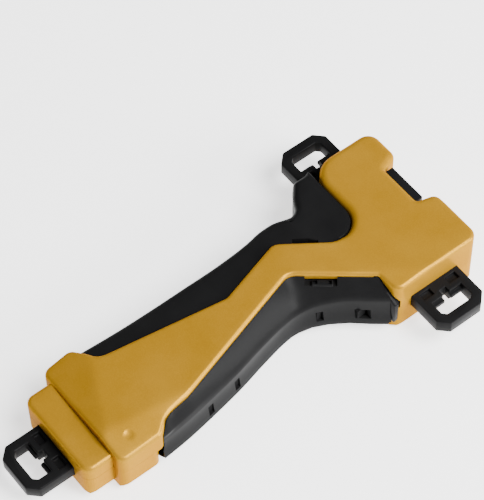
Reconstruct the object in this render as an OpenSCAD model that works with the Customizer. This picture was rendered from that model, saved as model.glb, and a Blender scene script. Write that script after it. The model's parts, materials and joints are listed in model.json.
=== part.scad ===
// Hand grip for a spinning-top launcher: two-colour plastic shells screwed together,
// three trapped accessory loops and a sprung lock at the launcher socket.
// Drawn lying on its back: X across, Y along the grip towards the head, Z out of the front.

/* [Head] */
// Half width of the head
head_half_w = 24.7; // [24.4:0.1:25.2]
// Top of the head along Y
head_top_y = 74.6; // [74:0.1:75.2]
// Full thickness of the head
thickness = 22; // [21.8:0.1:22.4]
// Height of the joint line between the front and rear shells
part_z = 10.95; // [10.9:0.05:11]
// Wall thickness of the gold shells
wall = 2.2; // [2:0.1:2.4]
// Radius of the rounded outer edges
edge_r = 1.9; // [1.6:0.1:2]
// Radius of the small corners of the outline
corner_r = 2.7; // [2.6:0.1:2.9]

/* [Launcher socket] */
// Bottom of the notch in the head's top edge
notch_y = 68.7; // [68.4:0.1:69]
// Left and right ends of the notch's floor
notch_x = [-10.4, 3.7];
// Left and right ends of the notch's mouth
notch_mouth_x = [-12.8, 5.4];
// Travel of the launcher lock
lock_travel = 2.6; // [2:0.1:2.8]

/* [Grip] */
// Wall thickness of the black shells
grip_wall = 1.8; // [1.6:0.1:1.9]
// Height of the lower rim of the front grip shell
skirt_z = 5.4; // [5.2:0.1:5.6]
// How far the palm-side flank falls from the band to its shoulder
palm_drop = 1.7; // [1.5:0.1:2]
// Where the front face starts to slope down to the butt
slope_y = 24; // [23:0.5:25]
// Slope of the front face towards the butt, in degrees
slope_angle = 1.8; // [1.7:0.1:1.9]
// Thickness of the gold band along the grip
band_t = 2.4; // [2.2:0.1:2.5]
// How far the gold band stands proud of the black shell
proud = 1.1; // [1:0.1:1.2]

/* [Butt] */
// Half width of the wide block
butt_half_w = 19; // [18.8:0.1:19.2]
// Lower end of the wide block
butt_y = -50.3; // [-50.5:0.1:-50.1]
// Half width of the end block
end_half_w = 15.2; // [15:0.1:15.4]
// Lower end of the end block
end_y = -59.3; // [-59.5:0.1:-59.1]
// Front and back faces of the end block
end_z = [2, 16.3];

/* [Loops] */
// Width of a loop along the wall that it comes out of
loop_w = 17.3; // [17.2:0.1:17.4]
// How far a side loop stands out of the wall
loop_out = 14.2; // [14:0.1:14.4]
// Thickness of a loop
loop_t = 4.7; // [4.6:0.1:4.8]
// Cut corners at a loop's free end
loop_cut = 3; // [2.8:0.1:3.2]
// Middle of the side loops along Y
side_loop_y = 58.1; // [58:0.1:58.2]
// Middle height of the butt loop
butt_loop_z = 8.7; // [8.6:0.1:8.8]

/* [Hidden] */

gold = [0.77, 0.60, 0.24];
black = [0.13, 0.13, 0.13];
steel = [0.72, 0.73, 0.75];

gap = 0.25;              // clearance between neighbouring shells
joint_gap = 0.15;        // half the joint line between front and rear shells
arc_step = 15;           // degrees per straight piece of a rounded outline
far = 200;               // larger than the object
$fn = 32;

head_cavity_z = thickness - wall;
loop_end_y = end_y - loop_out + 0.2;
middle_y = (head_top_y + loop_end_y) / 2;

// Screws: shank radius, head radius and head height
shank_r = 1;
screw_head_r = 2;
screw_head_h = 1.5;
pilot_r = shank_r + 0.05;
clear_r = shank_r + 0.2;
boss_r = 2.5;
sink_r = screw_head_r + 0.4;
head_screw_at = [[-17.2, 70.2], [14.6, 70.2], [17.2, 48.9], [-16.6, 56]];
grip_screw_at = [[-3.6, 28], [2.4, -13]];
butt_screw_at = [[-13, -44], [13, -44]];
guide_screw_at = [[-16.2, 63.4], [9.8, 63.4]];
case_seat_z = 3.2;       // underside of the rear screw heads' seats
screw_tip_z = 16.4;

// Lock: bar seen in the notch, broad base behind it, legs and thumb pad at the back
lock_x = [-10.1, 3.5];
lock_base_x = [-13, 6.4];
lock_z = [18.2, 20.75];
lock_bar_y = 71.1;
lock_base_y = [54.4, 64.5];
lock_leg_y = [56.8, 61.8];
lock_leg_t = 1.7;
lock_back_z = [2.6, 4.2];
pad_x = [-6.3, -0.3];
pad_y = [57.1, 61.5];
pad_z = 0.7;
slide_gap = 0.2;         // clearance around the sliding lock
spring_x = -3.3;
spring_z = 13.6;
spring_r = 2.1;          // mean radius of the coil
wire_r = 0.3;
spring_y = [44.9, 54.1];
spring_turns = 8;
post_r = 1.3;

// ---------- outlines ----------

function unit(v) = v / norm(v);

// Points of one corner at v, rounded with radius r, between the points a and b
function corner(a, v, b, r) =
  let (u = unit(a - v), w = unit(b - v), half = acos(u * w) / 2,
       c = v + unit(u + w) * r / sin(half),
       p = v + u * r / tan(half) - c, q = v + w * r / tan(half) - c,
       a0 = atan2(p[1], p[0]), sweep = (atan2(q[1], q[0]) - a0 + 540) % 360 - 180,
       n = max(1, ceil(abs(sweep) / arc_step)))
  [for (i = [0:n]) c + r * [cos(a0 + sweep * i / n), sin(a0 + sweep * i / n)]];

// Points of vertex k of a list of [x, y, radius], where radius 0 is a sharp corner
function vertex_points(v, k) =
  let (n = len(v), at = function(i) [v[i % n][0], v[i % n][1]])
  v[k][2] > 0 ? corner(at(k + n - 1), at(k), at(k + 1), v[k][2]) : [at(k)];

// Outline through such vertices, counter-clockwise
function rounded(v) = [for (k = [0:len(v) - 1]) each vertex_points(v, k)];

// Height of the front face at y
function front_z(y) = thickness - max(0, slope_y - y) * tan(slope_angle);

// Outline moved inwards by d, or outwards where d is negative
function inset(p, d) =
  let (n = len(p))
  [for (i = [0:n - 1])
    let (e = unit(p[i] - p[(i + n - 1) % n]), f = unit(p[(i + 1) % n] - p[i]),
         m = [-e[1], e[0]], k = [-f[1], f[0]])
    p[i] + (m + k) * d / (1 + m * k)];

notch_vertices = [
  [notch_mouth_x[1], head_top_y, corner_r], [notch_x[1], notch_y, 0.8],
  [notch_x[0], notch_y, 0.5], [notch_x[0] - 0.3, notch_y + 1.7, 0],
  [notch_x[0] - 1.2, notch_y + 2.5, 0],
  [notch_mouth_x[0], head_top_y, corner_r]];

// Front cover: head, slanted neck band and wide butt block
gold_outline = rounded(concat(
  [[-head_half_w, head_top_y, 4.3], [-head_half_w, 50.9, 8], [0.3, 50.8, 7.5],
   [0.3, 40.5, 5], [-10.2, 25.9, 2.5], [-4.1, 4.3, 3], [-11.3, -35.3, 5],
   [-butt_half_w, -40.4, corner_r], [-butt_half_w, butt_y, corner_r],
   [butt_half_w, butt_y, corner_r], [butt_half_w, -36.3, corner_r], [15.3, -31.4, 4],
   [14.4, -23.8, 10], [0.8, 22.7, 4.5], [17.4, 43, 1], [head_half_w, 44.1, corner_r],
   [head_half_w, head_top_y, 3.4]],
  notch_vertices));

// Rear cover of the head: the same sides and notch, with a straight lower edge
rear_head_outline = rounded(concat(
  [[-head_half_w, head_top_y, 4.3], [-head_half_w, 44.6, corner_r],
   [head_half_w, 43.9, corner_r], [head_half_w, head_top_y, 3.4]],
  notch_vertices));

// Rear cover of the butt's wide block
rear_butt_outline = rounded([
  [-butt_half_w, -40.4, corner_r], [-butt_half_w, butt_y, corner_r],
  [butt_half_w, butt_y, corner_r], [butt_half_w, -36.3, corner_r]]);

// End block, reaching up into the wide block
end_outline = rounded([
  [-end_half_w, butt_y + 1.5, 0], [-end_half_w, end_y, 3],
  [end_half_w, end_y, 3], [end_half_w, butt_y + 1.5, 0]]);

// Black corner of the head, below the gold plate on the left
black_corner_outline = rounded([
  [-head_half_w + 0.1, 50.6, 0], [-head_half_w + 0.1, 44.9, 2], [-20.8, 41.8, 2.5],
  [-15.2, 41.3, 0.8], [-14.5, 36, 0], [-5, 36.6, 0], [-1.6, 40.2, 0], [0, 43.2, 0],
  [0, 50.5, 7.2]]);

// Straight edges that carry a bevel
head_edges = [[[head_half_w, 60], [1, 0]], [[-head_half_w, 60], [-1, 0]],
              [[0, head_top_y], [0, 1]]];
butt_edges = [[[butt_half_w, -40], [1, 0]], [[-butt_half_w, -40], [-1, 0]]];
end_edges = [[[end_half_w, -55], [1, 0]], [[-end_half_w, -55], [-1, 0]],
             [[0, end_y], [0, -1]]];

// ---------- shapes of the grip by station along Y ----------

// Outer half widths of the grip: palm side on the left, finger side on the right
grip_left = [[-39, 17.4], [-24, 16.4], [-13, 16.1], [9, 15.9], [21, 16.6], [27, 17.5],
             [30.6, 17.4], [36, 15.5], [43.4, 15.4]];
grip_right = [[-39, 19.8], [-26, 18.6], [-16.6, 17.1], [-5.4, 15], [5.8, 12.3],
              [14.4, 10.6], [18.8, 10.3], [24, 11.2], [29, 13.6], [33.5, 16.5],
              [38.6, 21], [43.4, 24.9]];
// Height of the crease between the finger-side flank and the skirt
finger_z = [[-39, 13.4], [21, 13.4], [29, 14.6], [43.4, 15.6]];
// Edges of the gold band
band_left = [[-39, -18], [-35.5, -11.9], [-31, -10.6], [4.3, -4.1], [22, -9.1],
             [25.5, -9.7], [28, -8.7], [38, -1.5], [43.4, 0.3]];
band_right = [[-39, 19], [-36, 18.7], [-32, 15.8], [-24, 14.3], [2.9, 7.4], [20.5, 1.6],
              [24, 2], [43, 17.4], [43.4, 18]];

function half_left(y) = -lookup(y, grip_left);
function half_right(y) = lookup(y, grip_right);
function back_z(y) = 0.8 + max(0, slope_y - y) * tan(slope_angle);

grip_stations = [42.6, 38.6, 34, 29, 24.5, 20, 17, 13, 6, -5.4, -16.6, -26, -39];
// The same stations with both ends moved out by over
function stations(over) = [for (i = [0:len(grip_stations) - 1])
  grip_stations[i] + (i == 0 ? over : i == len(grip_stations) - 1 ? -over : 0)];
// Outline of the grip moved inwards by d
function grip_outline(d, over = 0) = concat(
  [for (y = stations(over)) [half_left(y) + d, y]],
  [for (i = [len(grip_stations) - 1:-1:0]) let (y = stations(over)[i])
    [half_right(y) - d, y]]);

// Wedge-shaped section above one flank at y: side is 1 for the finger side, -1 for the palm side
function flank_section(y, side, x_in, z_in) =
  let (edge = side > 0 ? half_right(y) : half_left(y),
       band = side > 0 ? lookup(y, band_right) : lookup(y, band_left),
       top = front_z(y) - proud,
       p = [edge, side > 0 ? lookup(y, finger_z) : top - palm_drop],
       q = [band + side * gap, top], d = q - p,
       a = p - 0.4 * d - [side * x_in, z_in], b = p + 1.6 * d - [side * x_in, z_in],
       c = [edge + side * 8, b[1] + 2],
       ring = side > 0 ? [a, c, b] : [b, c, a])
  [for (v = ring) [v[0], y, v[1]]];

// Section of the rear shell's outside at y, seen from the butt
function rear_section(y) =
  let (l = half_left(y) + 0.5, r = half_right(y) - 0.5, z = back_z(y), rim = skirt_z - gap)
  [for (p = [[l, rim], [l + 0.8, z + 1.9], [l + 4, z], [r - 4, z], [r - 0.8, z + 1.9],
             [r, rim]])
    [p[0], y, p[1]]];

// ---------- building blocks ----------

// Solid through rings of points; rings run towards the side that sees them counter-clockwise
module skin(rings) {
  n = len(rings[0]);
  last = (len(rings) - 1) * n;
  polyhedron(
    points = [for (r = rings) each r],
    faces = concat(
      [[for (i = [0:n - 1]) i], [for (i = [n - 1:-1:0]) last + i]],
      [for (k = [0:len(rings) - 2]) for (i = [0:n - 1])
        let (a = k * n + i, b = k * n + (i + 1) % n)
        each [[a, a + n, b + n], [a, b + n, b]]]),
    convexity = 10);
}

// Upright block between two heights
module block(p, z0, z1) translate([0, 0, z0]) linear_extrude(z1 - z0) polygon(p);

module box(x, y, z) translate([x[0], y[0], z[0]]) cube([x[1] - x[0], y[1] - y[0], z[1] - z[0]]);

// Everything between two heights along Y
module slice(y0, y1, z0 = -far, z1 = far) box([-far, far], [y0, y1], [z0, z1]);

// Follows the slope of the front face below slope_y
module sloped() translate([0, slope_y, thickness]) rotate([slope_angle, 0, 0])
  translate([0, -slope_y, -thickness]) children();

// Follows the slope of the back face below slope_y
module back_sloped() translate([0, slope_y, 0]) rotate([-slope_angle, 0, 0])
  translate([0, -slope_y, 0]) children();

// Everything above the plane through point p whose upward normal is n
module above(p, n) {
  u = unit(n);
  translate(p) rotate([0, acos(u[2]), atan2(u[1], u[0])])
    translate([-far / 2, -far / 2, 0]) cube([far, far, far]);
}

// Bevels along the straight edges of a face: each edge is [point on it, outward normal],
// dir is 1 for a front face at height z and -1 for a back face
module bevels(edges, z, dir, y0 = -far, y1 = far) intersection() {
  for (e = edges) above([e[0][0], e[0][1], z - dir * edge_r], [e[1][0], e[1][1], dir]);
  slice(y0, y1);
}

// Posts or holes at a list of places
module posts(places, r, z0, z1) for (p = places)
  translate([p[0], p[1], z0]) cylinder(h = z1 - z0, r = r);

// Pan-head screws standing on their heads at z0
module screws(places, z0, tip) for (p = places) translate([p[0], p[1], z0]) {
  difference() {
    cylinder(h = screw_head_h, r = screw_head_r);
    translate([0, 0, -1]) for (a = [0, 90]) rotate([0, 0, a]) translate([-1.3, -0.25, 0])
      cube([2.6, 0.5, 1.7]);
  }
  cylinder(h = tip - z0, r = shank_r);
}

// Moves the drawing so that the origin is below the middle of the whole object
module in_frame() translate([0, -middle_y, 0]) children();

// ---------- loops ----------

// Loop lying in the XY plane, coming out of the wall x = 0 towards +X
module loop(stub) difference() {
  union() {
    linear_extrude(loop_t, center = true) polygon([
      [-stub, -loop_w / 2], [loop_out - loop_cut, -loop_w / 2],
      [loop_out, -loop_w / 2 + loop_cut], [loop_out, loop_w / 2 - loop_cut],
      [loop_out - loop_cut, loop_w / 2], [-stub, loop_w / 2]]);
    // flange that is trapped behind the wall
    box([-stub - 0.1, -stub + 1.7], [-loop_w / 2 - 1.3, loop_w / 2 + 1.3],
        [-loop_t / 2 - 1.3, loop_t / 2 + 1.3]);
  }
  // eye with cut outer corners
  linear_extrude(loop_t + 1, center = true) polygon([
    [6.3, -5.6], [9.8, -5.6], [11, -4.4], [11, 4.4], [9.8, 5.6], [6.3, 5.6]]);
  // slot between the two pads
  box([3.4, 6.4], [-1.2, 1.2], [-loop_t, loop_t]);
  // ledges and pockets of the pads on both faces
  for (s = [-1, 1]) {
    translate([0, 0, s * loop_t / 2]) box([5.3, 6.4], [-5.6, 5.6], [-1.6, 1.6]);
    for (y = [-4.8, 4.8]) translate([0, y, s * loop_t / 2])
      box([1, 3.4], [-1.9, 1.9], [-1.2, 1.2]);
  }
}

// Space that a loop's stem and flange need in the shells
module loop_space(stub) {
  box([-stub, 2], [-loop_w / 2 - 0.15, loop_w / 2 + 0.15], [-loop_t / 2 - 0.15, loop_t / 2 + 0.15]);
  box([-stub - 0.25, -stub + 1.85], [-loop_w / 2 - 1.45, loop_w / 2 + 1.45],
      [-loop_t / 2 - 1.45, loop_t / 2 + 1.45]);
}

loop_stub = wall + 1.9;
module at_right() translate([head_half_w, side_loop_y, part_z]) children();
module at_left() translate([-head_half_w, side_loop_y, part_z]) rotate(180) children();
module at_butt() translate([0, end_y, butt_loop_z]) rotate(-90) children();
module all_loop_spaces() {
  at_right() loop_space(loop_stub);
  at_left() loop_space(loop_stub);
  at_butt() loop_space(loop_stub);
}

// Space that the lock's guide needs where it reaches down into the neck
module guide_space() box([lock_base_x[0] - 1.1, lock_base_x[1] + 1.1], [42.9, 53.4],
                         [9.8, lock_z[0]]);

// Space that the launcher needs, from the notch down to the lock's spring block
module socket_mouth() box([lock_x[0] + lock_leg_t + gap, lock_x[1] - lock_leg_t - gap],
                          [notch_y - 6, notch_y + 1], [lock_back_z[1], lock_z[0] + 0.1]);

// ---------- shells ----------

module front_cover() color(gold) in_frame() difference() {
  union() {
    difference() {
      block(gold_outline, part_z + joint_gap, thickness);
      sloped() slice(-far, slope_y, thickness);
      bevels(head_edges, thickness, 1, 44);
      bevels(butt_edges, front_z(butt_y), 1, -far, -36);
      // lower facet at the finger-side shoulder, then the wedge of facets at the butt
      intersection() {
        above([16.6, 43, thickness - 0.15], [0.13, -0.087, 1]);
        slice(40, far);
      }
      intersection() {
        above([-8.1, -39.8, front_z(-39.8)], [-0.09, -0.224, 1]);
        slice(-far, -30);
      }
      intersection() {
        above([12.1, -28, front_z(-28)], [0.23, -0.0725, 1]);
        slice(-far, -10);
      }
      // hollow of the head and of the wide block, and the space below the band
      intersection() {
        linear_extrude(head_cavity_z) polygon(inset(gold_outline, wall));
        slice(42.9, far);
      }
      intersection() {
        linear_extrude(front_z(butt_y) - 3.4) polygon(inset(rear_butt_outline, wall));
        slice(-far, -39);
      }
      sloped() slice(-34.4, 43, -far, thickness - band_t);
    }
    difference() {
      block(end_outline, part_z + joint_gap, end_z[1]);
      bevels(end_edges, end_z[1], 1);
    }
    posts(head_screw_at, boss_r, part_z + joint_gap, head_cavity_z + 0.1);
    posts(butt_screw_at, boss_r, part_z + joint_gap, 17);
    posts(guide_screw_at, boss_r, lock_z[0], head_cavity_z + 0.1);
  }
  // hollow of the end block, open to the wide block
  box([-end_half_w + wall, end_half_w - wall], [end_y + wall, butt_y + wall + 0.3],
      [0, end_z[1] - wall]);
  posts(concat(head_screw_at, butt_screw_at), pilot_r, 0, screw_tip_z + 0.4);
  posts(guide_screw_at, pilot_r, 0, 21);
  all_loop_spaces();
  // lock bar's slot, lock base's pocket and the socket mouth
  box([lock_x[0] - slide_gap, lock_x[1] + slide_gap], [60, notch_y + 1],
      [lock_z[0] - 0.1, lock_z[1] + slide_gap]);
  box([lock_base_x[0] - slide_gap, lock_base_x[1] + slide_gap],
      [lock_base_y[0] - lock_travel - 0.3, lock_base_y[1] + 0.1],
      [lock_z[0] - 0.1, lock_z[1] + slide_gap]);
  socket_mouth();
  guide_space();
}

module head_rear_cover() color(gold) in_frame() difference() {
  union() {
    difference() {
      block(rear_head_outline, 0, part_z - joint_gap);
      bevels(head_edges, 0, -1);
      // bevel under the finger-side corner, where the black flank ends
      above([23.5, 45.5, 0], [0.6, -0.6, -0.53]);
      translate([0, 0, wall]) linear_extrude(far) polygon(inset(rear_head_outline, wall));
      // seat of the black corner on the palm side, and of the flank's end on the finger side
      translate([0, 0, skirt_z - gap]) linear_extrude(far)
        polygon(inset(black_corner_outline, -gap));
      box([-16, 22.3], [40, 46.4], [skirt_z - gap, far]);
    }
    posts(head_screw_at, boss_r + 0.3, 1, part_z - joint_gap);
  }
  posts(head_screw_at, clear_r, -1, far);
  posts(head_screw_at, sink_r, -1, case_seat_z + screw_head_h);
  all_loop_spaces();
  socket_mouth();
  // slot for the thumb pad, with a shallow finger scoop around it
  box([pad_x[0] - slide_gap, pad_x[1] + slide_gap],
      [pad_y[0] - lock_travel - slide_gap, pad_y[1] + slide_gap], [-1, far]);
  posts([[(pad_x[0] + pad_x[1]) / 2, (pad_y[0] + pad_y[1] - lock_travel) / 2]], 7.2, -1, 0.9);
}

module butt_rear_cover() color(gold) in_frame() difference() {
  union() {
    difference() {
      union() {
        difference() {
          block(rear_butt_outline, end_z[0], part_z - joint_gap);
          bevels(butt_edges, end_z[0], -1);
        }
        difference() {
          block(end_outline, end_z[0], part_z - joint_gap);
          bevels(end_edges, end_z[0], -1);
        }
      }
      translate([0, 0, end_z[0] + wall]) linear_extrude(far)
        polygon(inset(rear_butt_outline, wall));
      box([-end_half_w + wall, end_half_w - wall], [end_y + wall, butt_y + wall + 0.3],
          [end_z[0] + wall, far]);
      // way through to the grip
      box([-11, 12], [-41.5, -34], [end_z[0] + wall, far]);
    }
    posts(butt_screw_at, boss_r + 0.3, end_z[0] + 1, part_z - joint_gap);
  }
  posts(butt_screw_at, clear_r, -1, far);
  posts(butt_screw_at, sink_r, -1, end_z[0] + case_seat_z + screw_head_h);
  all_loop_spaces();
}

// Snap windows along the finger side and palm side: [place along Y, half width]
window_half = 1;
right_windows = [[-17.4, window_half], [-6.5, window_half], [26.1, window_half], [36.5, 1.7]];
left_windows = [[-17.4, window_half], [-6.5, window_half], [20, window_half]];
window_z = [6.8, 10.8];
barb_in = 1.2;           // how far a barb stays behind the skirt's outer face

// Outer face of the leaf behind a window on the finger side
function leaf_right(w) = min(half_right(w[0] - w[1] - 1), half_right(w[0] + w[1] + 1))
  - grip_wall - 0.7;

module windows(clear, reach) {
  for (w = right_windows) box([half_right(w[0]) - reach, half_right(w[0]) + 3],
    [w[0] - w[1] - clear, w[0] + w[1] + clear], [window_z[0] - clear, window_z[1] + clear]);
  for (w = left_windows) box([half_left(w[0]) - 3, half_left(w[0]) + reach],
    [w[0] - w[1] - clear, w[0] + w[1] + clear], [window_z[0] - clear, window_z[1] + clear]);
}

// Space above both flanks, moved inwards for the inside of the shell
module flanks(x_in, z_in) for (side = [-1, 1])
  skin([for (y = stations(2)) flank_section(y, side, x_in, z_in)]);

// Clip recesses beside the gold band: origin at their lower ends, X along the band's edge
clip_z = 18.7;           // floor of both recesses
module at_finger_clip() translate([3.9, 26.4, 0]) rotate(50.7) children();
module at_palm_clip() translate([-6.9, 30.5, 0]) rotate(54.3) children();

// Everything on the butt's side of the rear butt cover's upper edge
module butt_side() translate([butt_half_w, -36.3 + gap, 0])
  rotate(atan2(4.1, 2 * butt_half_w)) slice(-far, 0);

module front_grip_shell() color(black) in_frame() difference() {
  union() {
    difference() {
      block(grip_outline(0), skirt_z, thickness - proud);
      sloped() slice(-far, slope_y, thickness - proud);
      flanks(0, 0);
      // channel of the gold band, and the way for the wide butt block
      intersection() {
        linear_extrude(far) polygon(inset(gold_outline, -gap));
        union() {
          sloped() slice(-60, 60, thickness - band_t - gap);
          slice(-far, -33);
        }
      }
      // inside
      difference() {
        block(grip_outline(grip_wall, 1), 0, far);
        sloped() slice(-far, far, thickness - band_t - gap - grip_wall);
        flanks(1.2, 1.6);
      }
      // clip recesses beside the band at the neck
      at_finger_clip() box([0, 9.4], [-2.1, 0.3], [clip_z, far]);
      at_palm_clip() box([0, 7.6], [-0.3, 1.9], [clip_z, far]);
    }
    // black corner of the head
    difference() {
      block(black_corner_outline, skirt_z, thickness - proud + 0.05);
      // hollow, open to the grip and to the head
      box([-22, -3.4], [44.4, 47.6], [-1, thickness - proud - grip_wall]);
      box([-12.8, -5], [34, 46], [-1, 14.5]);
      box([-20, -3.4], [46, 52], [-1, 14]);
    }
    posts(grip_screw_at, boss_r, 8, 18.2);
    // clip tab in the finger-side recess
    at_finger_clip() box([2, 8.2], [-2.3, -0.4], [16.4, clip_z + 1.1]);
  }
  posts(grip_screw_at, pilot_r, 0, screw_tip_z + 0.4);
  windows(0, 4);
  all_loop_spaces();
  guide_space();
  butt_side();
}

module rear_grip_shell() color(black) in_frame() difference() {
  union() {
    difference() {
      skin([for (y = grip_stations) rear_section(y)]);
      difference() {
        block(grip_outline(grip_wall + 1.3, 1), 0, far);
        back_sloped() slice(-far, far, -far, back_z(far) + grip_wall);
      }
    }
    posts(grip_screw_at, boss_r + 0.3, 2.4, 7.8);
    // leaves that carry the snap barbs
    for (w = right_windows) let (x = leaf_right(w)) {
      box([x - 1.3, x], [w[0] - w[1] - 1, w[0] + w[1] + 1], [3.4, window_z[1] + 0.6]);
      box([x - 0.3, half_right(w[0]) - barb_in],
          [w[0] - w[1] + 0.2, w[0] + w[1] - 0.2], [window_z[0] + 0.2, window_z[1] - 0.2]);
    }
    for (w = left_windows) {
      box([half_left(w[0]) + grip_wall + 0.7, half_left(w[0]) + grip_wall + 2],
          [w[0] - w[1] - 1, w[0] + w[1] + 1], [3.4, window_z[1] + 0.6]);
      box([half_left(w[0]) + barb_in, half_left(w[0]) + grip_wall + 1],
          [w[0] - w[1] + 0.2, w[0] + w[1] - 0.2], [window_z[0] + 0.2, window_z[1] - 0.2]);
    }
  }
  posts(grip_screw_at, clear_r, -1, far);
  posts(grip_screw_at, sink_r, -1, case_seat_z + screw_head_h);
  butt_side();
}

// ---------- launcher lock ----------

module launcher_lock() color(black) in_frame() {
  box(lock_x, [lock_base_y[1] - 1, lock_bar_y], lock_z);
  box(lock_base_x, lock_base_y, lock_z);
  for (x = [lock_x[0], lock_x[1] - lock_leg_t])
    box([x, x + lock_leg_t], lock_leg_y, [lock_back_z[0], lock_z[0] + 0.5]);
  box(lock_x, lock_leg_y, lock_back_z);
  box(pad_x, pad_y, [pad_z, lock_back_z[1] - 0.5]);
  for (i = [0:3]) box([pad_x[0] + 0.8, pad_x[1] - 0.8],
    [pad_y[0] + 0.7 + i * 1.2, pad_y[0] + 1.2 + i * 1.2], [pad_z - 0.35, pad_z + 0.2]);
  // block that the spring pushes on, and the post inside the spring
  box([spring_x - 3, spring_x + 3], [lock_base_y[0], lock_base_y[0] + 2.2],
      [spring_z - 3, lock_z[0] + 0.5]);
  translate([spring_x, lock_base_y[0] + 0.5, spring_z]) rotate([90, 0, 0])
    cylinder(h = 2.5, r = post_r);
}

guide_z = [16, lock_z[0] - slide_gap];

// Bracket below the lock's base: two rails, two screw ears and the spring's seat
module lock_guide() color(black) in_frame() difference() {
  union() {
    for (x = [[lock_base_x[0] - 0.9, lock_x[0] - slide_gap],
              [lock_x[1] + slide_gap, lock_base_x[1] + 0.9]]) {
      box(x, [46.4, 66], guide_z);
      box(x, [43.2, 48], [10, guide_z[1]]);
    }
    posts(guide_screw_at, boss_r, guide_z[0], guide_z[1]);
    for (p = guide_screw_at) let (edge = p[0] < 0 ? lock_base_x[0] : lock_base_x[1])
      box([min(p[0], edge), max(p[0], edge)], [p[1] - boss_r, p[1] + boss_r], guide_z);
    box([lock_base_x[0] - 0.9, lock_base_x[1] + 0.9], [43.2, spring_y[0] - 0.2], [10, 17.2]);
    translate([spring_x, spring_y[0] - 0.3, spring_z]) rotate([-90, 0, 0])
      cylinder(h = 2, r = post_r);
  }
  posts(guide_screw_at, clear_r, 0, far);
}

// Round wire wound along Y between the guide and the lock
module lock_spring() color(steel) in_frame() {
  steps = 12 * spring_turns;
  run = (spring_y[1] - spring_y[0] - 2 * wire_r) / steps;
  skin([for (i = [0:steps])
    let (out = [cos(30 * i), 0, sin(30 * i)],
         centre = [spring_x, spring_y[0] + wire_r + run * i, spring_z] + spring_r * out)
    [for (k = [5:-1:0]) centre + wire_r * (cos(60 * k) * out + sin(60 * k) * [0, 1, 0])]]);
}

// ---------- loops and screws as placed ----------

module left_loop() color(black) in_frame() at_left() loop(loop_stub);
module right_loop() color(black) in_frame() at_right() loop(loop_stub);
module butt_loop() color(black) in_frame() at_butt() loop(loop_stub);

module guide_screws() color(steel) in_frame()
  screws(guide_screw_at, guide_z[0] - screw_head_h, 20.6);
module head_screws() color(steel) in_frame() screws(head_screw_at, case_seat_z, screw_tip_z);
module grip_screws() color(steel) in_frame() screws(grip_screw_at, case_seat_z, screw_tip_z);
module butt_screws() color(steel) in_frame()
  screws(butt_screw_at, end_z[0] + case_seat_z, screw_tip_z);

front_cover();
head_rear_cover();
butt_rear_cover();
front_grip_shell();
rear_grip_shell();
left_loop();
right_loop();
butt_loop();
launcher_lock();
lock_guide();
lock_spring();
guide_screws();
head_screws();
grip_screws();
butt_screws();
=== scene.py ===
"""Visual model of the launcher grip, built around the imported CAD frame.

Outlines and heights are in the CAD drawing's millimetres: X across the grip, Y from the butt to
the head, Z from the back to the gold front. The palm side is at -X, the finger side at +X.
"""

import json
import math

import bmesh
import bpy
import numpy as np
from mathutils import Euler, Matrix, Vector, geometry


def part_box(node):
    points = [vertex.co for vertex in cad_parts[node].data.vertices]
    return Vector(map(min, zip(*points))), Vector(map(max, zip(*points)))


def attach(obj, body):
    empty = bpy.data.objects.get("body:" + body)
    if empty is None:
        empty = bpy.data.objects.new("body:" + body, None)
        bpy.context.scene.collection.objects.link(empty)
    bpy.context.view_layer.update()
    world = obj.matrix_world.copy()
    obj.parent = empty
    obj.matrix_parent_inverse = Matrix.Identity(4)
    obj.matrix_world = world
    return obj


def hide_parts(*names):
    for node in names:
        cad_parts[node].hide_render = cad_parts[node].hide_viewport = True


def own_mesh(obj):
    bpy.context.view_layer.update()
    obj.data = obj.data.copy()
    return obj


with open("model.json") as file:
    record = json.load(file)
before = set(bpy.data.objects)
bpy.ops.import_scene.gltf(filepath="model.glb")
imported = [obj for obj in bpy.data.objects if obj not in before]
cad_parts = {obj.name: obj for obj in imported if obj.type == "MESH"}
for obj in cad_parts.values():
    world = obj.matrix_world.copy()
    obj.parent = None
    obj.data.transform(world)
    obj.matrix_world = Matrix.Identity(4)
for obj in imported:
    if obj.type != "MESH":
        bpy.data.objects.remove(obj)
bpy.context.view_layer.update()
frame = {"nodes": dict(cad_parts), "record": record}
NODES = frame["nodes"]
JOINT = next(j for j in frame["record"]["behaviour"]["joints"] if j["name"] == "lock_slide")
BODY = "grip"
MM = 0.001
HEAD_Y = 74.6          # the head's end in the drawing, whose Y origin isn't the frame's
SHIFT_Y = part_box("front_cover")[1].y / MM - HEAD_Y


def reach(node, axis):
    """Where a CAD node starts and ends along an axis, in the drawing's millimetres."""
    shift = SHIFT_Y if axis == "y" else 0
    return [round(getattr(end, axis) / MM - shift, 2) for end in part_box(node)]


def centre(span):
    return (span[0] + span[1]) / 2


# The gold front
HEAD_HALF = reach("front_cover", "x")[1]
END_Y = reach("front_cover", "y")[0]
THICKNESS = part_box("front_cover")[1].z / MM
PART_Z = centre(reach("left_loop", "z"))  # joint line of the covers, where the side loops sit
NOTCH_Y = 68.7         # floor of the launcher notch
SLOPE_Y = 24.0         # from here the face falls towards the butt
SLOPE = math.tan(math.radians(1.8))
SLOPE_BEND = 3         # half length of the bend where the fall sets in
WALL = 2.0
BAND_T = 2.4           # thickness of the band along the neck
BUTT_HALF = 19
BUTT_TOP_PALM = -40.4  # upper ends of the wide block on the palm and finger side
BUTT_TOP_FINGER = -36.3
BUTT_Y = -50.3         # lower end of the wide block
END_Z = 16.3           # front face of the end block
DIMPLE = (14.7, -43.9, 5, 0.09)  # on the wide block: x, y, radius and depth

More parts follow.
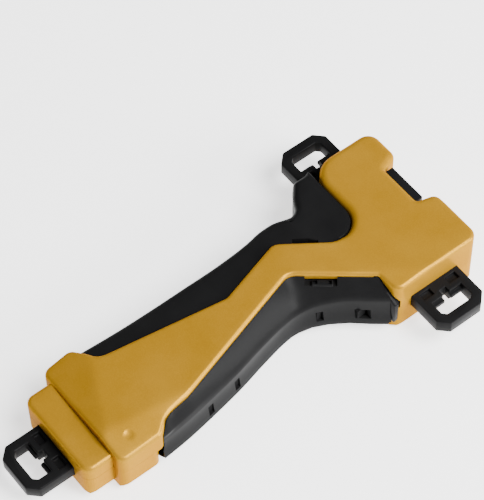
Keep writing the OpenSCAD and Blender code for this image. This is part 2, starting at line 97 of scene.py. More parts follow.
# The black grip
SKIRT_Z = reach("front_grip_shell", "z")[0]
GRIP_TOP_Y = reach("rear_grip_shell", "y")[1]
GRIP_END_Y = reach("front_grip_shell", "y")[0]
BAND_START = 43.0      # the flanks lie beside the gold band between these two Y
BAND_END = -33.0
PROUD = 1.1            # how far the gold band stands above the flanks
GAP = 0.25             # clearance between gold and black
FLANK_GAP = 0.22       # clearance round the flank's end below the gold shoulder
GRIP_WALL = 1.8
# Windows on both sides: middle and half length along Y, and their heights
RIGHT_WINDOWS = [(-17.4, 1.0), (-6.5, 1.0), (26.1, 1.0), (36.5, 1.7)]
LEFT_WINDOWS = [(-17.4, 1.0), (-6.5, 1.0), (20, 1.0)]
WINDOW_Z = (6.8, 10.8)
CLIP_Z = 18.7          # floor of the clip recesses beside the band
# The recesses' places: x, y and angle
FINGER_CLIP = (3.9, 26.4, 50.7)
PALM_CLIP = (-6.9, 30.5, 54.3)

# The lock: bar in the notch and broad base behind it
LOCK_BAR_X = (-10.1, 3.5)
LOCK_BASE_X = reach("launcher_lock", "x")
LOCK_BASE_Y = (54.4, 64.5)
LOCK_Z = (18.2, reach("launcher_lock", "z")[1])
LOCK_LEG = 1.7         # thickness of the legs on both sides of the socket
LOCK_TRAVEL = JOINT["range_m"][1] / MM
SLIDE_GAP = 0.2
MOUTH_Z = 4.2          # lower end of the socket's mouth

# The loops: a stem in a slot of the wall, and a flange behind it
LOOP_Y = centre(reach("left_loop", "y"))
BUTT_LOOP_Z = centre(reach("butt_loop", "z"))
SLOT_HALF = 8.8        # half length and half height of a slot
SLOT_HIGH = 2.5
STEM = 3.9             # how far a slot reaches in from the outer face
FLANGE = 1.3           # how far a flange stands out round its stem
FLANGE_ROOM = 2.1      # thickness of the room for a flange

FAR = 99               # beyond everything
# Degrees along a rounded edge at which it has a ring of points
FINE_ARC = (*range(0, 79, 13), 90)
COARSE_ARC = range(0, 91, 18)


# ---------------------------------------------------------------- outlines

def corner(a, v, b, r, step):
    """Points of the arc of radius r that rounds the corner a-v-b."""
    u, w = (a - v) / np.linalg.norm(a - v), (b - v) / np.linalg.norm(b - v)
    half = math.acos(float(u @ w)) / 2
    c = v + (u + w) / np.linalg.norm(u + w) * r / math.sin(half)
    p, q = v + u * r / math.tan(half) - c, v + w * r / math.tan(half) - c
    a0 = math.atan2(p[1], p[0])
    sweep = (math.atan2(q[1], q[0]) - a0 + 3 * math.pi) % (2 * math.pi) - math.pi
    n = max(1, math.ceil(abs(sweep) / math.radians(step)))
    return [c + r * np.array([math.cos(a0 + sweep * i / n), math.sin(a0 + sweep * i / n)])
            for i in range(n + 1)]


def rounded(vertices, spacing=1.2, step=8):
    """Closed outline through [x, y, radius] corners, with its straight parts divided."""
    pts, n = [], len(vertices)
    for k, (x, y, r) in enumerate(vertices):
        v = np.array([x, y], float)
        a, b = np.array(vertices[k - 1][:2], float), np.array(vertices[(k + 1) % n][:2], float)
        pts += corner(a, v, b, r, step) if r > 0 else [v]
    out = []
    for i, p in enumerate(pts):
        q = pts[(i + 1) % len(pts)]
        cuts = max(1, math.ceil(np.linalg.norm(q - p) / spacing))
        out += [p + (q - p) * j / cuts for j in range(cuts)]
    return np.array(out)


def inset(p, d):
    """Outline moved inwards by d, which may differ from point to point."""
    e = p - np.roll(p, 1, 0)
    f = np.roll(p, -1, 0) - p
    e /= np.linalg.norm(e, axis=1)[:, None]
    f /= np.linalg.norm(f, axis=1)[:, None]
    m, k = np.stack([-e[:, 1], e[:, 0]], 1), np.stack([-f[:, 1], f[:, 0]], 1)
    return p + (m + k) * (np.broadcast_to(d, len(p)) / (1 + (m * k).sum(1)))[:, None]


def smooth_line(stations):
    """Smooth curve through [y, value] stations."""
    s = np.array(sorted(stations), float)
    y, v = s[:, 0], s[:, 1]
    t = np.gradient(v, y)

    def at(q):
        q = np.clip(q, y[0], y[-1])
        i = np.clip(np.searchsorted(y, q) - 1, 0, len(y) - 2)
        h = y[i + 1] - y[i]
        s = (q - y[i]) / h
        return ((2 * s**3 - 3 * s**2 + 1) * v[i] + (s**3 - 2 * s**2 + s) * h * t[i]
                + (3 * s**2 - 2 * s**3) * v[i + 1] + (s**3 - s**2) * h * t[i + 1])
    return at


def smoothstep(x, a, b):
    t = np.clip((x - a) / (b - a), 0, 1)
    return t * t * (3 - 2 * t)


def bezier(a, b, c, n):
    """Points of the parabola that leaves a towards b and arrives at c from b."""
    a, b, c = (np.array(q, float) for q in (a, b, c))
    return [(1 - t) ** 2 * a + 2 * t * (1 - t) * b + t * t * c for t in np.linspace(0, 1, n)]


def edge_at(outline, y, side):
    """X where an outline is furthest out at y: on the right for side 1, left for -1."""
    p, q = outline, np.roll(outline, -1, 0)
    hit = (p[:, 1] - y) * (q[:, 1] - y) <= 0
    p, q = p[hit], q[hit]
    keep = abs(q[:, 1] - p[:, 1]) > 1e-9
    p, q = p[keep], q[keep]
    x = p[:, 0] + (q[:, 0] - p[:, 0]) * (y - p[:, 1]) / (q[:, 1] - p[:, 1])
    return x.max() if side > 0 else x.min()


# Outlines seen from the front, as [x, y, radius] corners
NOTCH = [[5.4, HEAD_Y, 2.7], [3.7, NOTCH_Y, 0.8], [-10.4, NOTCH_Y, 0.5], [-12.8, HEAD_Y, 2.7]]
GOLD = [[-HEAD_HALF, HEAD_Y, 4.3], [-HEAD_HALF, 50.9, 8], [0.3, 50.8, 7.5], [0.3, 40.5, 5],
        [-10.2, 25.9, 4], [-4.1, 4.3, 3], [-11.3, -35.3, 5],
        [-BUTT_HALF, BUTT_TOP_PALM, 2.7], [-BUTT_HALF, BUTT_Y, 2.7],
        [BUTT_HALF, BUTT_Y, 2.7], [BUTT_HALF, BUTT_TOP_FINGER, 2.7], [15.3, -31.4, 9],
        [14.4, -23.8, 10], [0.8, 22.7, 4.5], [17.4, 43, 1], [HEAD_HALF, 44.1, 2.7],
        [HEAD_HALF, HEAD_Y, 3.4]] + NOTCH
GOLD_LINE = rounded(GOLD)
END = [[-15.2, BUTT_Y + 1.3, 0], [-15.2, END_Y, 3], [15.2, END_Y, 3], [15.2, BUTT_Y + 1.3, 0]]
BLACK_CORNER = [[-24.6, 50.6, 0], [-24.6, 44.9, 2.4], [-20.4, 41.4, 4], [-15.45, 38.6, 4],
                [-15.6, 34, 0], [-7, 34.4, 0], [-0.95, 39.2, 0], [-0.4, 40.7, 0],
                [0.02, 42.2, 0], [0.02, 50.5, 7.2]]

# Half widths of the grip on both sides, and the height of the finger side's crease
half_left = smooth_line([[-41, 17.5], [-24, 16.4], [-13, 16.1], [-2, 16], [9, 15.9],
                         [21, 16.6], [27, 17.5], [30.6, 17.4], [36, 15.6], [44, 15.4]])
half_right = smooth_line([[-41, 20], [-26, 18.6], [-16.6, 17.1], [-5.4, 15], [5.8, 12.3],
                          [14.4, 10.6], [18.8, 10.3], [24, 11.2], [29, 13.6], [33.5, 16.5],
                          [38.6, 21], [43.4, 24.9]])
crease_z = smooth_line([[-41, 13.4], [0, 13.4], [21, 13.5], [29, 14.6], [36, 15.2], [44, 15.6]])


# ---------------------------------------------------------------- heights

def level(z):
    """Height function of a level face."""
    return lambda p: np.full(len(p), z)


def slope_z(y):
    """The front face: level on the head and neck, then falling towards the butt."""
    t = SLOPE_Y - np.asarray(y, float)
    return THICKNESS - SLOPE * (t + np.sqrt(t * t + SLOPE_BEND**2)) / 2


def soft_min(a, b, k=0.12):
    """The lower of two heights, with the edge between them rounded over about k."""
    return (a + b - np.sqrt((a - b) ** 2 + k * k)) / 2


def facet(p, x0, y0, z0, rise_x, rise_y):
    """Height at points p of the plane through x0, y0, z0."""
    return z0 + rise_x * (p[:, 0] - x0) + rise_y * (p[:, 1] - y0)


def front_height(p):
    """Height of the gold front at points p: the slope with the facets at butt and shoulder."""
    y = p[:, 1]
    palm = facet(p, -8.1, -39.8, slope_z(-39.8), 0.09, 0.224)
    finger = facet(p, 12.1, -28, slope_z(-28), -0.23, 0.0725)
    shoulder = facet(p, 16.6, 43, THICKNESS - 0.15, -0.13, 0.087)
    z = soft_min(slope_z(y), palm)
    z = soft_min(z, np.where(y < 0, finger, FAR))
    return soft_min(z, np.where(y > 38, shoulder, FAR))


def ceiling(p):
    """Ceiling of the gold front's hollow."""
    return front_height(p) - BAND_T + 0.15


def wall_end(p):
    """Lower end of the gold front's wall: the joint line, or the band's underside at the neck."""
    y = p[:, 1]
    band = smoothstep(y, -34.4, -34.2) * (1 - smoothstep(y, 42.8, 43.0))
    return PART_Z + (front_height(p) - BAND_T - PART_Z) * band


def edge_radius(p):
    """Radius of the gold front's edge: tight along the neck, the butt and the finger side."""
    x, y = p[:, 0], p[:, 1]
    neck = smoothstep(y, -40, -34) * (1 - smoothstep(y, 40, 46))
    sides = np.maximum(smoothstep(x, 2, 10), smoothstep(-y, 34, 38))
    return 2.3 - 1.1 * np.maximum(neck, sides)


# ---------------------------------------------------------------- meshes

def inside(pts, poly):
    """Which points lie inside a polygon."""
    x, y = pts[:, 0][:, None], pts[:, 1][:, None]
    a, b = poly, np.roll(poly, -1, 0)
    cross = (a[:, 1] > y) != (b[:, 1] > y)
    with np.errstate(divide="ignore", invalid="ignore"):
        at = a[:, 0] + (b[:, 0] - a[:, 0]) * (y - a[:, 1]) / (b[:, 1] - a[:, 1])
    return ((x < at) & cross).sum(1) % 2 == 1


def far_from(pts, poly, d):
    """Which points are further than d from every point of a polygon."""
    return (np.linalg.norm(pts[:, None] - poly[None], axis=2).min(1)) > d


def fill(ring, spacing):
    """Triangles that fill a ring, and the extra points inside it that they use."""
    lo, hi = ring.min(0), ring.max(0)
    rows = []  # of a triangular grid that keeps clear of the ring
    for j, y in enumerate(np.arange(lo[1], hi[1], spacing * 0.87)):
        rows += [[x + (j % 2) * spacing / 2, y] for x in np.arange(lo[0], hi[0], spacing)]
    grid = np.array(rows)
    grid = grid[inside(grid, ring)]
    grid = grid[far_from(grid, ring, spacing * 0.55)]
    pts = [Vector(p) for p in np.vstack([ring, grid])]
    _, _, faces, origin, _, _ = geometry.delaunay_2d_cdt(
        pts, [], [list(range(len(ring)))], 1, 1e-6)
    name = [o[0] if o else None for o in origin]
    return grid, [[name[i] for i in f] for f in faces if all(name[i] is not None for i in f)]


def link(name, mesh):
    ob = bpy.data.objects.new(name, mesh)
    bpy.context.scene.collection.objects.link(ob)
    return ob


def from_bmesh(name, bm):
    mesh = bpy.data.meshes.new(name)
    bm.to_mesh(mesh)
    bm.free()
    return link(name, mesh)


def shade(ob, sharp=38):
    """Smooth shading, apart from edges sharper than the angle."""
    ob.data.shade_smooth()
    ob.data.set_sharp_from_angle(angle=math.radians(sharp))


def as_piece(ob, slot, body=BODY, sharp=38):
    """Gives an object its slot's material, its shading and the body that carries it."""
    ob.data.materials.clear()
    ob.data.materials.append(MATERIALS[slot])
    shade(ob, sharp)
    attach(ob, body)
    return ob


class Build:
    """Collects points in drawing millimetres and faces, and makes an object of them."""

    def __init__(self):
        self.v, self.f = [], []

    def points(self, xyz):
        start = len(self.v)
        self.v += [tuple(p) for p in xyz]
        return list(range(start, len(self.v)))

    def ring(self, xy, z):
        return self.points((p[0], p[1], h) for p, h in zip(xy, np.broadcast_to(z, len(xy))))

    def strip(self, a, b):
        n = len(a)
        self.f += [[a[i], a[(i + 1) % n], b[(i + 1) % n], b[i]] for i in range(n)]

    def cap(self, ring, xy, height, spacing, up):
        """Fills a ring with triangles at the given heights."""
        grid, tris = fill(xy, spacing)
        names = ring + (self.ring(grid, height(grid)) if len(grid) else [])
        self.f += [[names[i] for i in (t if up else t[::-1])] for t in tris]

    def rim(self, outline, radius, height, degrees):
        """Rounded edge from an outline's wall to the face; its lowest and highest ring, and the
        outline of the highest."""
        rings = []
        for a in np.radians(degrees):
            face = inset(outline, radius * (1 - math.cos(a)))
            rings.append(self.ring(face, height(face) - radius * (1 - math.sin(a))))
        for lower, upper in zip(rings, rings[1:]):
            self.strip(lower, upper)
        return rings[0], rings[-1], face

    def hollow(self, foot, outline, wall, lip_z, roof_z, spacing):
        """Inside of a shell: lip from the foot of the wall, inner wall and ceiling."""
        inner = inset(outline, wall)
        lip = self.ring(inner, lip_z(inner))
        self.strip(lip, foot)
        roof = self.ring(inner, roof_z(inner))
        self.strip(roof, lip)
        self.cap(roof, inner, roof_z, spacing, False)

    def make(self, name):
        mesh = bpy.data.meshes.new(name)
        v = np.array(self.v, float)
        v[:, 1] += SHIFT_Y
        mesh.from_pydata((v * MM).tolist(), [], self.f)
        return link(name, mesh)

    def piece(self, name, slot):
        """The object without doubled points, as a piece."""
        ob = self.make(name)
        bm = bmesh.new()
        bm.from_mesh(ob.data)
        bmesh.ops.remove_doubles(bm, verts=bm.verts, dist=1e-7)
        bmesh.ops.dissolve_degenerate(bm, dist=1e-7, edges=bm.edges)
        bmesh.ops.recalc_face_normals(bm, faces=bm.faces)
        bm.to_mesh(ob.data)
        bm.free()
        return as_piece(ob, slot)


# ---------------------------------------------------------------- cutting tools

def cut(ob, *tools):
    """Takes the tools' space out of the object, and removes the tools."""
    for tool in tools:
        m = ob.modifiers.new("cut", "BOOLEAN")
        m.operation, m.solver, m.object = "DIFFERENCE", "EXACT", tool
    graph = bpy.context.evaluated_depsgraph_get()
    graph.update()
    whole, mesh = ob.data, bpy.data.meshes.new_from_object(ob.evaluated_get(graph))
    ob.modifiers.clear()
    ob.data = mesh
    bpy.data.meshes.remove(whole)
    for tool in tools:
        bpy.data.objects.remove(tool)
    shade(ob)


def grown(span, by):
    return (span[0] - by, span[1] + by)


def about(middle, half):
    return (middle - half, middle + half)


def box_tool(x, y, z, turn=0, at=(0, 0)):
    """A box, turned about its own origin and moved."""
    bm = bmesh.new()
    bmesh.ops.create_cube(bm, size=1)
    size = Matrix.Diagonal((x[1] - x[0], y[1] - y[0], z[1] - z[0], 1))
    middle = Matrix.Translation(((x[0] + x[1]) / 2, (y[0] + y[1]) / 2, (z[0] + z[1]) / 2))
    place = Matrix.Translation((at[0], at[1] + SHIFT_Y, 0)) @ Matrix.Rotation(
        math.radians(turn), 4, "Z")
    bm.transform(Matrix.Scale(MM, 4) @ place @ middle @ size)
    return from_bmesh("tool", bm)


def prism_tool(xy, z):
    """An upright prism."""
    b = Build()
    low, high = b.ring(xy, z[0]), b.ring(xy, z[1])
    b.strip(low, high)
    b.f += [low[::-1], high]
    return b.make("tool")


def hull(points):
    """The convex solid around drawing points, as a bmesh in metres."""
    bm = bmesh.new()
    for x, y, z in points:
        bm.verts.new((x * MM, (y + SHIFT_Y) * MM, z * MM))
    out = bmesh.ops.convex_hull(bm, input=bm.verts)
    spare = [v for v in out["geom_interior"] if isinstance(v, bmesh.types.BMVert)]
    bmesh.ops.delete(bm, geom=spare, context="VERTS")
    bmesh.ops.dissolve_limit(bm, angle_limit=math.radians(2), verts=bm.verts, edges=bm.edges)
    bmesh.ops.recalc_face_normals(bm, faces=bm.faces)
    return bm


def dish(x, y, radius, depth):
    """A ball that dips depth into the gold front at x, y."""
    z = float(front_height(np.array([[x, y]]))[0])
    bm = bmesh.new()
    bmesh.ops.create_uvsphere(bm, u_segments=48, v_segments=32, radius=radius * MM)
    bm.transform(Matrix.Translation((x * MM, (y + SHIFT_Y) * MM, (z + radius - depth) * MM)))
    return from_bmesh("tool", bm)


def lock_room():
    """The bar's slot, the base's pocket and the mouth of the launcher socket."""
    z = (LOCK_Z[0] - 0.1, LOCK_Z[1] + SLIDE_GAP)
    base_y = (LOCK_BASE_Y[0] - LOCK_TRAVEL - 0.3, LOCK_BASE_Y[1] + 0.1)
    return [box_tool(grown(LOCK_BAR_X, SLIDE_GAP), (60, NOTCH_Y + 1), z),
            box_tool(grown(LOCK_BASE_X, SLIDE_GAP), base_y, z),
            box_tool(grown(LOCK_BAR_X, -LOCK_LEG - GAP), (NOTCH_Y - 6, NOTCH_Y + 1),
                     (MOUTH_Z, LOCK_Z[0] + 0.1))]


def guide_room():
    """Room for the lock's guide and spring where they reach down into the neck."""
    y, z = reach("lock_guide", "y")[0] - 0.3, reach("lock_guide", "z")[0] - SLIDE_GAP
    return box_tool(grown(LOCK_BASE_X, 1.1), (y, 53.4), (z, LOCK_Z[0]))


def loop_slot(side):
    """Room for a side loop's stem and for its flange."""
    stem, flange = HEAD_HALF - STEM, HEAD_HALF - STEM - GAP
    rooms = ((stem, HEAD_HALF + 2, 0), (flange, flange + FLANGE_ROOM, FLANGE))
    return [box_tool(sorted((side * a, side * b)), about(LOOP_Y, SLOT_HALF + more),
                     about(PART_Z, SLOT_HIGH + more)) for a, b, more in rooms]


def butt_loop_slot():
    """Room for the butt loop's stem."""
    return box_tool(about(0, SLOT_HALF), (END_Y - 2, END_Y + STEM),
                    about(BUTT_LOOP_Z, SLOT_HIGH))


# ---------------------------------------------------------------- materials

class NodeMaterial:
    """A new node material with short calls for its parts."""

    def __init__(self, name):
        self.material = bpy.data.materials.new(name)
        self.material.use_nodes = True
        self.tree = self.material.node_tree
        self.shader = self.tree.nodes["Principled BSDF"]
        self.coords = self.add("ShaderNodeTexCoord").outputs["Object"]

    def add(self, kind, **values):
        node = self.tree.nodes.new(kind)
        for k, v in values.items():
            setattr(node, k, v)
        return node

    def link(self, a, b):
        self.tree.links.new(a, b)

    def noise(self, scale, detail=3.0, roughness=0.5):
        n = self.add("ShaderNodeTexNoise")
        n.inputs["Scale"].default_value = scale
        n.inputs["Detail"].default_value = detail
        n.inputs["Roughness"].default_value = roughness
        self.link(self.coords, n.inputs["Vector"])
        return n.outputs["Fac"]

    def span(self, value, a, b, to_a, to_b):
        """Maps the range a to b onto the range to_a to to_b."""
        n = self.add("ShaderNodeMapRange")
        for k, v in zip(("From Min", "From Max", "To Min", "To Max"), (a, b, to_a, to_b)):
            n.inputs[k].default_value = v
        self.link(value, n.inputs["Value"])
        return n.outputs["Result"]

    def ramp(self, value, stops):
        n = self.add("ShaderNodeValToRGB")
        el = n.color_ramp.elements
        while len(el) < len(stops):
            el.new(0.5)
        for e, (p, c) in zip(el, stops):
            e.position, e.color = p, (*c, 1)
        self.link(value, n.inputs["Fac"])
        return n.outputs["Color"]

    def product(self, a, b):
        n = self.add("ShaderNodeMixRGB", blend_type="MULTIPLY")
        n.inputs["Fac"].default_value = 1.0
        self.link(a, n.inputs["Color1"])
        self.link(b, n.inputs["Color2"])
        return n.outputs["Color"]

    def bump(self, heights, strength, distance):
        """Chained bumps, the coarsest first."""
        last = None
        for h, s, d in zip(heights, strength, distance):
            n = self.add("ShaderNodeBump")
            n.inputs["Strength"].default_value = s
            n.inputs["Distance"].default_value = d
            self.link(h, n.inputs["Height"])
            if last:
                self.link(last, n.inputs["Normal"])
            last = n.outputs["Normal"]
        self.link(last, self.shader.inputs["Normal"])

    def set(self, **values):
        """Values of the shader, and links into it."""
        for k, v in values.items():
            socket = self.shader.inputs[k.replace("_", " ")]
            if isinstance(v, bpy.types.NodeSocket):
                self.link(v, socket)
            else:
                socket.default_value = v


def pearl_gold():
    m = NodeMaterial("pearl_gold")
    flow = m.noise(42, 5, 0.6)
    flake = m.noise(2600, 2, 0.5)
    cloud = m.ramp(flow, [(0.30, (0.315, 0.156, 0.0070)), (0.52, (0.350, 0.177, 0.0100)),
                          (0.74, (0.385, 0.200, 0.0140))])
    fine = m.ramp(flake, [(0.40, (0.90, 0.90, 0.90)), (0.66, (1.0, 1.0, 1.0))])
    m.set(Base_Color=m.product(cloud, fine), Roughness=m.span(flow, 0.3, 0.7, 0.27, 0.35),
          Metallic=0.32, IOR=1.06, Specular_IOR_Level=0.5, Specular_Tint=(1.0, 0.52, 0.10, 1))
    m.bump([m.noise(160, 3), flake], [0.10, 0.05], [0.0004, 0.00006])
    return m.material


def black_plastic(name, ior, roughness):
    m = NodeMaterial(name)
    cloud = m.noise(90, 4, 0.55)
    grain = m.noise(3200, 2, 0.5)
    m.set(Base_Color=m.ramp(cloud, [(0.3, (0.0060, 0.0060, 0.0062)),
                                    (0.7, (0.0078, 0.0078, 0.0080))]),
          Roughness=m.span(cloud, 0.3, 0.7, roughness, roughness + 0.08),
          IOR=ior, Specular_IOR_Level=0.5)
    m.bump([m.noise(240, 3), grain], [0.08, 0.10], [0.0003, 0.00005])
    return m.material


def plated_steel():
    m = NodeMaterial("plated_steel")
    cloud = m.noise(400, 4, 0.6)
    m.set(Base_Color=m.ramp(cloud, [(0.3, (0.50, 0.51, 0.53)), (0.7, (0.62, 0.63, 0.65))]),
          Roughness=m.span(cloud, 0.3, 0.7, 0.22, 0.36), Metallic=1.0)
    m.bump([m.noise(1800, 2)], [0.06], [0.00005])
    return m.material


def dress_cad_nodes():
    """Each node's material; the rear shell's is duller, so its barbs stay dark in the windows."""
    for subpart in frame["record"]["subparts"]:
        slots = NODES[subpart["node"]].data.materials
        slots.clear()
        slots.append(MATERIALS[subpart["material_slot"]])
    NODES["rear_grip_shell"].data.materials[0] = black_plastic("dull_black", 1.05, 0.45)


MATERIALS = {"gold_plastic": pearl_gold(), "steel": plated_steel(),
             "black_plastic": black_plastic("satin_black", 1.105, 0.28)}
dress_cad_nodes()


# ---------------------------------------------------------------- gold front

def flank_end(grow=0.0):
    """The black flank's last part, which reaches below the gold shoulder."""
    end = 42.0 - grow
    low = [(15.5, end), (24.85 + grow * 4, 43.0 - grow), (24.7 + grow * 4, 44.6 + grow),
           (23.2, 45.9 + grow), (15.5, 43.3 + grow)]
    top = [(15.5, end), (17.3 + grow, end), (16.6 + grow, 43.3 + grow), (15.5, 43.3 + grow)]
    return ([(x, y, SKIRT_Z - grow) for x, y in low] + [(x, y, 14.0 + grow) for x, y in low]
            + [(x, y, THICKNESS - PROUD - 0.05 + grow) for x, y in top])


def gold_front():
    b = Build()
    low, high, face = b.rim(GOLD_LINE, edge_radius(GOLD_LINE), front_height, FINE_ARC)
    b.cap(high, face, front_height, 1.1, True)
    foot = b.ring(GOLD_LINE, wall_end(GOLD_LINE) - 0.08)
    b.strip(foot, low)
    b.hollow(foot, GOLD_LINE, WALL, wall_end, ceiling, 2.2)
    # end block
    end = rounded(END, 1.5)
    low, high, face = b.rim(end, 1.5, level(END_Z), FINE_ARC)
    b.cap(high, face, level(END_Z), 2.5, True)
    foot = b.ring(end, PART_Z)
    b.strip(foot, low)
    b.hollow(foot, end, 1.9, level(PART_Z), level(END_Z - 2), 4)
    ob = b.piece("gold_front", "gold_plastic")
    cut(ob, from_bmesh("tool", hull(flank_end(FLANK_GAP))), dish(*DIMPLE))
    cut(ob, *lock_room(), guide_room(), *loop_slot(1), *loop_slot(-1), butt_loop_slot())
    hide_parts("front_cover")


gold_front()


# ---------------------------------------------------------------- black grip

def finger_profile(rim, band, top, crease):
    """Flared skirt from the rim, narrow steep strip at the crease, then the gentle flank."""
    flare = [[rim, SKIRT_Z], [rim - 0.02, SKIRT_Z + 0.3], [rim - 0.4, SKIRT_Z + 2.2],
             [rim - 0.75, SKIRT_Z + 4.4]]
    low, high = [rim - 0.95, crease - 1.2], [rim - 0.9, crease - 0.2]
    run = np.array([band - high[0], top - high[1]])
    start = np.array(high) + run * 0.30 + [0.55, 0.35]
    turn = bezier(high, np.array(high) + [-0.1, 1.1], start, 9)
    end = np.array([band, top])
    flank = [start + (end - start) * t + np.array([0.5, 0.5]) * t * (1 - t)
             for t in (0.12, 0.26, 0.42, 0.6, 0.8, 0.95, 1)]
    return [np.array(q, float) for q in (*flare, low)] + turn + flank


def palm_profile(rim, band, top, drop):
    """Upright wall from the rim, rounded shoulder, then nearly level to the band."""
    low = [[rim, SKIRT_Z + h] for h in (0, 0.3, 2, 4, 6, 8)]
    turn = bezier([rim, top - drop - 2.4], [rim + 0.05, top - drop - 0.2],
                  [rim + 2.6, top - drop], 10)
    end, start = np.array([band, top]), turn[-1]
    flat = [start + (end - start) * t for t in (0.2, 0.4, 0.6, 0.8, 0.95, 1)]
    return [np.array(q, float) for q in low] + turn + flat


def grip_section(y):
    """Closed channel section [x, z] of the black front shell at y."""
    beside_band = max(BAND_END, min(BAND_START, y))
    left, right = -float(half_left(y)), float(half_right(y))
    crease = float(crease_z(y))
    face = float(slope_z(y))
    top, floor = face - PROUD, face - BAND_T - GAP
    band_left = max(edge_at(GOLD_LINE, beside_band, -1) - GAP, left + 2.2)
    band_right = min(edge_at(GOLD_LINE, beside_band, 1) + GAP, right - 2.0)
    drop = 0.8 * (1 - float(smoothstep(y, 28, 36)))
    w = GRIP_WALL
    inner = [[left + w, SKIRT_Z], [left + w, top - 4.4],
             [band_left + w * 0.7, floor - w], [band_right - w * 0.9, floor - w],
             [right - w - 1.2, crease - 0.8], [right - w, SKIRT_Z]]
    return np.array([*finger_profile(right, band_right, top, crease),
                     [band_right, floor], [band_left, floor],
                     *palm_profile(left, band_left, top, drop)[::-1], *inner])


def butt_room():
    """Room for the gold wide block, and everything beyond the rear butt cover's edge."""
    line = inset(GOLD_LINE, -GAP)
    edge = line[line[:, 1] < BAND_END]
    closing = [[edge[-1][0], BAND_END + 0.1], [edge[0][0], BAND_END + 0.1]]
    tilt = math.degrees(math.atan2(BUTT_TOP_FINGER - BUTT_TOP_PALM, 2 * BUTT_HALF))
    return [prism_tool(np.vstack([edge, closing]), (0, 30)),
            box_tool((-FAR, FAR), (-30, 0), (-1, 30), tilt, (BUTT_HALF, BUTT_TOP_FINGER + GAP))]


def windows():
    """The windows that show the rear shell's snap barbs."""
    sides = ((RIGHT_WINDOWS, half_right, 1), (LEFT_WINDOWS, half_left, -1))
    return [box_tool(about(side * float(width(y)), 4), about(y, half), WINDOW_Z)
            for spots, width, side in sides for y, half in spots]


def clip_recess(place, length, y):
    """Recess along the band's edge, at the clip's place [x, y, angle]."""
    return box_tool((0, length), y, (CLIP_Z, 30), place[2], place[:2])


def grip_front():
    b = Build()
    rings = [b.points((x, y, z) for x, z in grip_section(y))
             for y in np.linspace(GRIP_TOP_Y, GRIP_END_Y, 110)]
    for upper, lower in zip(rings, rings[1:]):
        b.strip(upper, lower)
    b.f += [rings[0], rings[-1][::-1]]
    ob = b.piece("grip_front", "black_plastic")
    cut(ob, *butt_room(), *windows(), clip_recess(FINGER_CLIP, 9.4, (-2.1, 0.3)),
        clip_recess(PALM_CLIP, 7.6, (-0.3, 1.9)))
    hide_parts("front_grip_shell")


def soft_block(name, outline, z, radius, spacing):
    """Upright block with a rounded upper edge."""
    b = Build()
    line = rounded(outline, 1.5)
    base = b.ring(line, z[0])
    low, high, face = b.rim(line, radius(line), level(z[1]), COARSE_ARC)
    b.strip(base, low)
    b.cap(high, face, level(z[1]), spacing, True)
    b.cap(base, line, level(z[0]), 5.0, False)
    return b.piece(name, "black_plastic")


def corner_edge(p):
    """Radius of the black corner's edge: wide outside, tight towards the gold and the grip."""
    return np.where((p[:, 0] < -14.9) & (p[:, 1] < 50.4), 2.3, 0.5)


def corner_rooms():
    """The black corner's hollow, with its ways out into the grip and the head."""
    return [box_tool((-22, -3.4), (44.4, 47.6), (-1, THICKNESS - PROUD - GRIP_WALL)),
            box_tool((-12.8, -5), (34, 46), (-1, 14.5)),
            box_tool((-20, -3.4), (46, 52), (-1, 14))]


def black_corner():
    """The head's palm-side corner, which belongs to the black grip."""
    ob = soft_block("head_black_corner", BLACK_CORNER, (SKIRT_Z, THICKNESS - PROUD - 0.02),
                    corner_edge, 2.0)
    cut(ob, *corner_rooms(), guide_room(), *loop_slot(-1))


def soft_edges(bm, edges, width, segments):
    bmesh.ops.bevel(bm, geom=edges, offset=width * MM, segments=segments, profile=0.5,
                    affect="EDGES", clamp_overlap=True)


def soft_hull(name, points, width, segments=3):
    """Convex black piece with rounded edges."""
    bm = hull(points)
    soft_edges(bm, bm.edges[:], width, segments)
    as_piece(from_bmesh(name, bm), "black_plastic", sharp=30)


def lug(x, y, z0, z1, r):
    """Points of a short upright peg with a rounded top and bottom."""
    around = [(math.cos(a), math.sin(a)) for a in np.radians(range(0, 360, 30))]
    return [(x + share * r * c, y + share * r * s, z)
            for share, inwards in ((1, 0.35 * r), (0.6, 0))
            for c, s in around for z in (z0 + inwards, z1 - inwards)]


def clip_tab():
    """Tab in the finger side's clip recess."""
    x0, y0, turn = FINGER_CLIP
    c, s = math.cos(math.radians(turn)), math.sin(math.radians(turn))
    outline = [[x0 + x * c - y * s, y0 + x * s + y * c, 0.3]
               for x, y in ((2, -2.3), (8.2, -2.3), (8.2, -0.4), (2, -0.4))]
    soft_block("finger_clip_tab", outline, (16.4, CLIP_Z + 1.1), lambda p: 0.35, 1.2)


grip_front()
black_corner()
soft_hull("finger_flank_end", flank_end(), 0.5)
soft_hull("corner_lug_upper", lug(-23.9, 45.9, 11.6, 15.2, 1.4), 0.15, 2)
soft_hull("corner_lug_lower", lug(-23.9, 45.6, 5.6, 8.4, 1.1), 0.15, 2)
clip_tab()


# ---------------------------------------------------------------- loops, lock and spring

def soft_copy(node, width, body=BODY, segments=3):
    """The node's own shape with rounded edges."""
    bm = bmesh.new()
    bm.from_mesh(NODES[node].data)
    bmesh.ops.remove_doubles(bm, verts=bm.verts, dist=2e-6)
    bmesh.ops.dissolve_limit(bm, angle_limit=math.radians(1), verts=bm.verts, edges=bm.edges)
    edges = [e for e in bm.edges if len(e.link_faces) == 2 and e.calc_face_angle() > 0.5]
    soft_edges(bm, edges, width, segments)
    bmesh.ops.recalc_face_normals(bm, faces=bm.faces)
    ob = as_piece(from_bmesh(node + "_soft", bm), "black_plastic", body, 30)
    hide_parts(node)


def spring_coil():
    """The spring's own shape."""
    ob = link("lock_spring_coil", NODES["lock_spring"].data.copy())
    as_piece(ob, "steel", sharp=70)
    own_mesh(ob)
    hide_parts("lock_spring")


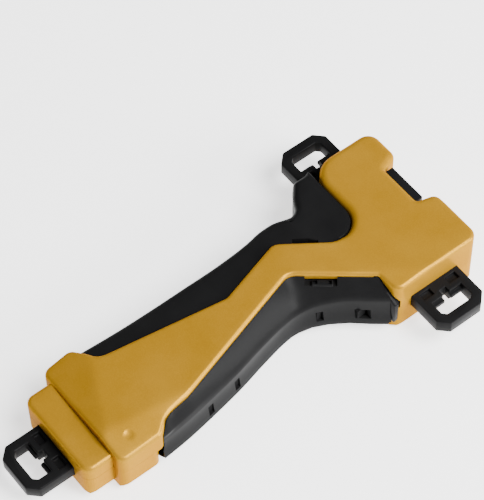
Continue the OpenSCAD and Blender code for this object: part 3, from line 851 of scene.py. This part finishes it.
for loop_node in ("left_loop", "right_loop", "butt_loop"):
    soft_copy(loop_node, 0.45)
soft_copy("launcher_lock", 0.3, body="lock", segments=2)
spring_coil()


# ---------------------------------------------------------------- stage, light and camera

CAMERA_AT = (0.2810, -0.20425, 0.5639)
CAMERA_TURN = (34.2044, 0.7222, 52.0741)  # degrees about X, Y and Z
SENSOR_MM = 36
FOCAL_PER_WIDTH = 4.54


def stage():
    mesh = bpy.data.meshes.new("floor")
    mesh.from_pydata([(-3, -3, 0), (3, -3, 0), (3, 3, 0), (-3, 3, 0)], [], [(0, 1, 2, 3)])
    m = NodeMaterial("floor_white")
    m.set(Base_Color=m.ramp(m.noise(3, 2), [(0.3, (0.90, 0.90, 0.90)), (0.7, (0.92, 0.92, 0.92))]),
          Roughness=0.9, Specular_IOR_Level=0.1, Emission_Color=(1, 1, 1, 1),
          Emission_Strength=1.5)
    mesh.materials.append(m.material)
    link("floor", mesh)
    world = bpy.data.worlds.new("studio")
    world.use_nodes = True
    background = world.node_tree.nodes["Background"]
    background.inputs["Color"].default_value = (1, 1, 1, 1)
    background.inputs["Strength"].default_value = 0.30
    bpy.context.scene.world = world


def area_light(name, at, size, watts):
    """Round light that faces the origin."""
    data = bpy.data.lights.new(name, "AREA")
    data.shape, data.size, data.energy = "DISK", size, watts
    light = link(name, data)
    light.location = at
    light.rotation_mode = "QUATERNION"
    light.rotation_quaternion = (-Vector(at)).to_track_quat("-Z", "Y")


def camera():
    data = bpy.data.cameras.new("camera")
    data.sensor_width = SENSOR_MM
    data.lens = FOCAL_PER_WIDTH * SENSOR_MM
    cam = link("camera", data)
    turn = Euler([math.radians(a) for a in CAMERA_TURN]).to_matrix().to_4x4()
    cam.matrix_world = Matrix.Translation(CAMERA_AT) @ turn
    bpy.context.scene.camera = cam


stage()
area_light("key", (0.68, 0.34, 1.12), 0.8, 45)
area_light("side", (0.85, 0.70, 0.27), 0.5, 14)
area_light("edge", (0.98, 0.40, 0.53), 0.3, 11)
camera()
